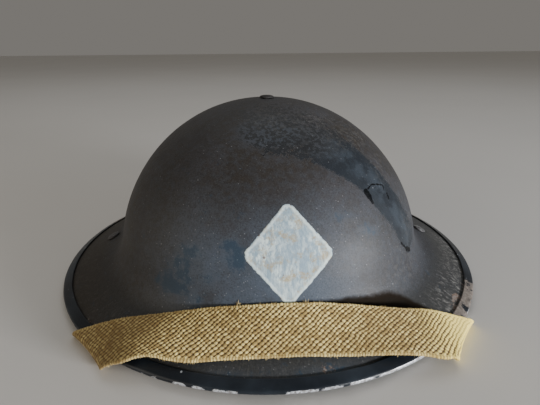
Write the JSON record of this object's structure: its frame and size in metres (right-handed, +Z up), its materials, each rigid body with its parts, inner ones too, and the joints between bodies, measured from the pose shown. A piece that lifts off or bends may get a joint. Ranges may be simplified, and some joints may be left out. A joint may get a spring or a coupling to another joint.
{
  "type": "steel helmet",
  "caption": "Shallow pressed steel helmet with a wide sloping brim, a folded rim band and a webbing chin strap worn forward over the brim.",
  "frame": {"origin": "on the surface the helmet rests on, under the middle of its overall box", "axes": "+Z up as it rests; the helmet's front, where the strap crosses the brim, faces -Y; +X is to the right in a view from the front"},
  "size_m": [0.292, 0.3026, 0.1199],
  "materials": {
    "shell_paint": "satin charcoal paint, worn, with dark blue runs and an off-white hand-painted patch on the front",
    "band_paint": "semi-gloss blue-black paint, chipped to bare metal along the outer edge",
    "bare_steel": "dull, aged steel",
    "webbing": "coarse khaki cotton webbing"
  },
  "bodies": {
    "root": {"shell": "shell_paint", "rim_band": "band_paint", "crown_screw": "shell_paint", "crown_nut": "bare_steel", "strap_rivet_left": "bare_steel", "strap_rivet_right": "bare_steel", "strap_lug_left": "bare_steel", "strap_lug_right": "bare_steel", "chin_strap": "webbing"}
  },
  "joints": []
}
